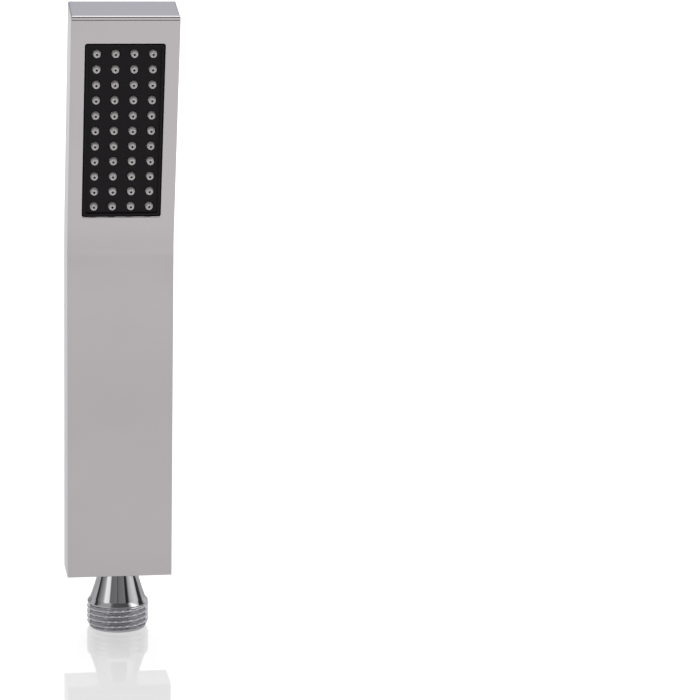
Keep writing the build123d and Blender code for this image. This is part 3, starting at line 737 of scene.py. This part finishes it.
# ---------------------------------------------------------------- inner parts
# Rubber seals, moulded valve and waterway parts, and steel and brass fasteners, all held inside the
# tube. They keep their own solids, but for the valve's spring, and each gets the finish of what it
# is made of.


def inner_finish(name, colour, dark, roughness, metallic=0.0, scale=900, bump=3e-6, drawn=(1, 1, 1)):
    """Moulded, turned or drawn stock: two tones of one colour in a cloud or in drawn-out streaks,
    with a roughness and a bump that follow the same pattern."""
    material, wires, place = new_finish(name)
    pattern = noise(wires, stretched(wires, place, *drawn), scale, detail=3.0)
    relief = wires.node("Bump", {}, {"Strength": 1.0, "Distance": bump, "Height": pattern})
    sockets = {
        "Base Color": pattern.mix((*dark, 1), (*colour, 1)),
        "Roughness": roughness + 0.12 * pattern,
        "Metallic": metallic,
        "Normal": relief,
    }
    surfaced(wires, wires.node("BsdfPrincipled", {}, sockets))
    return material


drawn_metal = {"metallic": 1.0, "scale": 300, "bump": 2e-6, "drawn": (1, 1, 30)}
inner_finishes = {
    "black_rubber": inner_finish(
        "black_rubber", (0.03, 0.03, 0.03), (0.018, 0.018, 0.018), 0.55, scale=2500, bump=4e-6
    ),
    "white_plastic": inner_finish("white_plastic", (0.82, 0.82, 0.8), (0.74, 0.74, 0.72), 0.3),
    "grey_plastic": inner_finish("grey_plastic", (0.2, 0.2, 0.21), (0.15, 0.15, 0.16), 0.34),
    "green_plastic": inner_finish("green_plastic", (0.06, 0.38, 0.17), (0.04, 0.3, 0.12), 0.3),
    "stainless_steel": inner_finish(
        "stainless_steel", (0.62, 0.62, 0.63), (0.5, 0.5, 0.51), 0.22, **drawn_metal
    ),
    "bare_brass": inner_finish(
        "bare_brass", (0.74, 0.54, 0.26), (0.6, 0.42, 0.18), 0.2, **drawn_metal
    ),
}
for part in frame["record"]["subparts"]:
    if part["material_slot"] in inner_finishes:
        node_mesh = frame["nodes"][part["node"]].data
        node_mesh.materials.clear()
        node_mesh.materials.append(inner_finishes[part["material_slot"]])

# ---------------------------------------------------------------- valve spring
# The check valve's closing spring, coiled from stainless wire, with its end turns wound close so
# that it stands square. Its top is held by the valve's cap, and it shortens as the poppet opens.

spring_low, spring_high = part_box("valve_spring")
wire_radius = 0.25 * mm
coil_turns = 5
close_pitch = 0.53 * mm
steps_per_turn = 36
wire_sides = 12


def coiled_wire(turns, around):
    """A round wire carried up a helix. The first and the last turn climb a close pitch, and the
    turns between them share the rest of the height evenly."""
    coil_radius = spring_high.x - wire_radius
    first = spring_low.z + wire_radius
    last = spring_high.z - wire_radius
    heights = [first, first + close_pitch, last - close_pitch, last]
    climb = np.interp(turns, [0, 1, coil_turns - 1, coil_turns], heights)
    reach = coil_radius + wire_radius * np.cos(around)
    x = reach * np.cos(2 * np.pi * turns)
    y = reach * np.sin(2 * np.pi * turns)
    return np.stack([x, y, climb + wire_radius * np.sin(around)], axis=-1)


wire_turns = np.linspace(0, coil_turns, steps_per_turn * coil_turns + 1)[:, None]
wire_grid = coiled_wire(wire_turns, np.linspace(0, 2 * np.pi, wire_sides + 1)[:-1])
spring = add_piece(
    "closing_spring",
    "handset",
    inner_finishes["stainless_steel"],
    [closed(wire_grid)],
    lids=[wire_grid[0], wire_grid[-1]],
)
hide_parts("valve_spring")
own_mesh(spring)

# ---------------------------------------------------------------- studio
# A pale, slightly glossy painted floor under a light tent of soft lights and grey cloth, with black
# flags between them that draw the streaks on the turned metal. Only reflections see the tent.

floor_reach = 6.0
floor_drop = 0.02 * mm
bounce_grey = (0.68, 0.68, 0.68, 1)  # the paint that scattered light meets
seen_grey = (0.45, 0.45, 0.45, 1)  # the paint that is looked at, before it is lifted to white
white_lift = 0.53
front_lift = 0.1
front_zone = (0.3, 0.6)  # metres in front of the object, where the front's lift comes in
skim_dimming = 0.37
skim_index = 1.5

floor_level = cad_low.z - floor_drop
floor_corners = ((-1, -1), (1, -1), (1, 1), (-1, 1))
floor_points = [(x * floor_reach, y * floor_reach, floor_level) for x, y in floor_corners]
floor_mesh = bpy.data.meshes.new("studio_floor")
floor_mesh.from_pydata(floor_points, [], [(0, 1, 2, 3)])
floor = bpy.data.objects.new("studio_floor", floor_mesh)
bpy.context.scene.collection.objects.link(floor)


def background_rays(wires):
    """1 for the rays that see the background: the camera's, and those in metal and in glass."""
    kinds = ("Camera", "Glossy", "Transmission")
    eye, metal, glass = (wires.node("LightPath", {}, {}, output="Is %s Ray" % kind) for kind in kinds)
    return wires.node("Math", {"operation": "ADD", "use_clamp": True}, {0: eye + metal, 1: glass})


# To look at, the floor is lifted to white and keeps its shadow, and a painted pool of light
# makes the lift grow towards the front. In reflections it is matt, and painted shade dims it
# where they skim it.
paint, wires, place = new_finish("floor_paint")
seen = background_rays(wires)
paint_colour = seen.mix(bounce_grey, seen_grey)
sheen = {"Base Color": paint_colour, "Roughness": 0.02, "Specular IOR Level": 0.7}
painted = wires.node("BsdfPrincipled", {}, sheen)
matt = wires.node("BsdfDiffuse", {}, {"Color": paint_colour})
mirrored = wires.node("LightPath", {}, {}, output="Is Glossy Ray")
covered = wires.node("MixShader", {}, {0: mirrored, 1: painted, 2: matt})
skimmed = wires.node("Fresnel", {}, {"IOR": skim_index}) * mirrored
forward = wires.node("SeparateXYZ", {}, {"Vector": place}, output=1) * -1
glow = white_lift * seen + front_lift * forward.between(*front_zone) - skim_dimming * skimmed
lift = wires.node("Emission", {}, {"Color": glow, "Strength": 1.0})
surfaced(wires, wires.node("AddShader", {}, {0: covered, 1: lift}))
floor_mesh.materials.append(paint)

# What stands round the object: the bearing in degrees, from the front towards the right, where a
# panel starts, and its brightness there, and then the same where it ends
panels = [
    (-180, 1.35, -166, 0.95),  # white cloth behind
    (-154, 0.5, -140, 0.45),  # grey cloth
    (-131, 0.72, -112, 0.66),  # grey cloth
    (-109, 0.05, -99, 0.06),  # black flag
    (-96, 0.2, -70, 0.6),  # grey cloth, lighter towards the light
    (-61, 1.5, -43, 1.3),  # strip light
    (-39, 0.23, -8, 0.27),  # dark front
    (-6, 0.1, -4, 0.1),  # camera stand
    (-2, 0.24, 28, 0.3),  # dark front
    (31, 0.03, 41, 0.04),  # black flag
    (49, 0.6, 62, 0.9),  # soft light, left edge
    (74, 1.05, 88, 0.9),  # soft light, right edge
    (93, 0.05, 110, 0.05),  # black flag
    (121, 0.8, 150, 1.0),  # white cloth behind
    (160, 1.35, 178, 1.35),  # white cloth behind
]

# The brightness higher up: across the front, by how far to the right, and then over the top, by the
# share of the way from the front to the back. Lengths are shares of the tent's radius.
cool_cloth = (0.83, 0.86, 0.91)
front_levels = [
    (-0.47, 0.55), (-0.41, 0.26), (-0.3, 0.13), (0.5, 0.11), (0.56, 0.4), (0.64, 1.1), (0.7, 2.3),
]
top_levels = [
    (0.33, 3.0), (0.45, 2.8), (0.53, 1.4), (0.64, 1.3),
    (0.7, cool_cloth), (0.8, cool_cloth), (0.83, 0.5),
]
front_end = (0.35, 0.38)  # the share of the way over where the front gives way to the top
left_end = (-0.47, -0.41)  # further left than this, the front's cloth runs on over the top
panel_end = (0.5, 0.6)  # the height where the panels give way to what is higher up
panel_fall = 0.16  # how much lower that is straight behind
twice_seen = 0.75  # the most that shows in a reflection of a reflection

tent_radius = 2.0
tent_sides = 96
tent_tiers = 24
tent_bearings = np.linspace(0, 2 * np.pi, tent_sides + 1)
tent_slopes = np.linspace(0, np.pi / 2, tent_tiers + 1)[:, None]
tent_x = tent_radius * np.cos(tent_slopes) * np.cos(tent_bearings)
tent_y = tent_radius * np.cos(tent_slopes) * np.sin(tent_bearings)
tent_z = np.broadcast_to(tent_radius * np.sin(tent_slopes), tent_x.shape)
tent_points = np.stack([tent_x, tent_y, tent_z], axis=-1)
numbers = np.arange(tent_x.size).reshape(tent_x.shape)
tent_quads = [numbers[:-1, :-1], numbers[1:, :-1], numbers[1:, 1:], numbers[:-1, 1:]]
tent_faces = np.stack(tent_quads, axis=-1).reshape(-1, 4)
tent_mesh = bpy.data.meshes.new("light_tent")
tent_mesh.from_pydata(tent_points.reshape(-1, 3).tolist(), [], tent_faces.tolist())
tent = bpy.data.objects.new("light_tent", tent_mesh)
bpy.context.scene.collection.objects.link(tent)
tent.visible_camera = False
tent.visible_diffuse = False
tent.visible_transmission = False
tent.visible_shadow = False
cloth, wires, place = new_finish("tent_cloth")
inward = wires.node("Mapping", {}, {"Vector": place, "Scale": (1 / tent_radius,) * 3})
across, behind, upward = (wires.node("SeparateXYZ", {}, {"Vector": inward}, output=i) for i in range(3))


def ramp(wires, place, levels):
    """A ramp along a wire, from pairs of a place and a brightness, which may be a colour."""
    stops = [(spot, (*np.broadcast_to(level, 3), 1)) for spot, level in levels]
    return wires.node("ValToRGB", {"stops": stops}, {"Fac": place})


bearing = wires.math("ARCTAN2", across, behind * -1) * (1 / (2 * np.pi)) + 0.5
over = wires.math("ARCTAN2", upward, behind * -1) * (1 / np.pi)
panel_levels = [
    ((turn + 180) / 360, level)
    for start, at_start, end, at_end in panels
    for turn, level in ((start, at_start), (end, at_end))
]
low_light = ramp(wires, bearing, panel_levels)
front_light = ramp(wires, across * 0.5 + 0.5, [(0.5 * x + 0.5, level) for x, level in front_levels])
top_light = ramp(wires, over, top_levels)
on_top = over.between(*front_end) * across.between(*left_end)
high_light = on_top.mix(front_light, top_light)
rise = upward + panel_fall * wires.math("MAXIMUM", behind, 0.0)
tent_light = rise.between(*panel_end).mix(low_light, high_light)

# The brightest cloth is held down where one shiny part shows another
again = wires.node("LightPath", {}, {}, output="Glossy Depth").between(1.0, 2.0)
softened = wires.node("VectorMath", {"operation": "MINIMUM"}, {0: tent_light, 1: (twice_seen,) * 3})
shown = again.mix(tent_light, softened)
surfaced(wires, wires.node("Emission", {}, {"Color": shown, "Strength": 1.0}))
tent_mesh.materials.append(cloth)

# The room beyond is white to look at. It lights the object softly, most from low round the horizon.
horizon_light = (0.75, 0.75, 0.75, 1)
overhead_light = (0.1, 0.1, 0.1, 1)
horizon_end = (0.1, 0.6)  # the height, from 0 level to 1 straight up, where the one gives way
world = bpy.data.worlds.new("studio")
bpy.context.scene.world = world
world.use_nodes = True
world.node_tree.nodes.clear()
wires = Wire(world.node_tree)
outward = wires.node("TexCoord", {}, {}, output="Generated")
height = wires.node("SeparateXYZ", {}, {"Vector": outward}, output=2)
soft_light = height.between(*horizon_end).mix(horizon_light, overhead_light)
room = background_rays(wires).mix(soft_light, (1, 1, 1, 1))
light = wires.node("Background", {}, {"Color": room, "Strength": 1.0})
wires.node("OutputWorld", {}, {"Surface": light})

# A large soft box high behind the object, so that the floor takes most of its light
lamp = bpy.data.lights.new("high_soft_box", "AREA")
lamp.shape = "RECTANGLE"
lamp.size = 3.0
lamp.size_y = 2.2
lamp.energy = 62.0
lamp_place = Vector((0.2, 1.5, 1.6))
lamp_object = bpy.data.objects.new("high_soft_box", lamp)
lamp_object.location = lamp_place
lamp_object.rotation_euler = lamp_place.to_track_quat("Z", "Y").to_euler()
lamp_object.visible_glossy = False
bpy.context.scene.collection.objects.link(lamp_object)

# ---------------------------------------------------------------- camera
# A long lens, a little above the object and to its left. It is turned a little past the object,
# which stands left of the middle, and rolled by a degree.

lens = bpy.data.cameras.new("camera")
lens.sensor_width = 36.0
lens.lens = 164.57
lens.clip_end = 50.0
camera_distance = 1.0907
camera_aim = Vector((79.1, 0, 95.1)) * mm
camera_azimuth = np.radians(-9.54)
camera_drop = np.radians(12.57)
camera_roll = np.radians(1.08)
camera = bpy.data.objects.new("camera", lens)
turned_to = (
    Matrix.Rotation(camera_azimuth, 4, "Z")
    @ Matrix.Rotation(np.pi / 2 - camera_drop, 4, "X")
    @ Matrix.Rotation(camera_roll, 4, "Z")
)
stood_back = Matrix.Translation((0, 0, camera_distance))
camera.matrix_world = Matrix.Translation(camera_aim) @ turned_to @ stood_back
bpy.context.scene.collection.objects.link(camera)
bpy.context.scene.camera = camera
bpy.context.scene.view_settings.view_transform = "Standard"
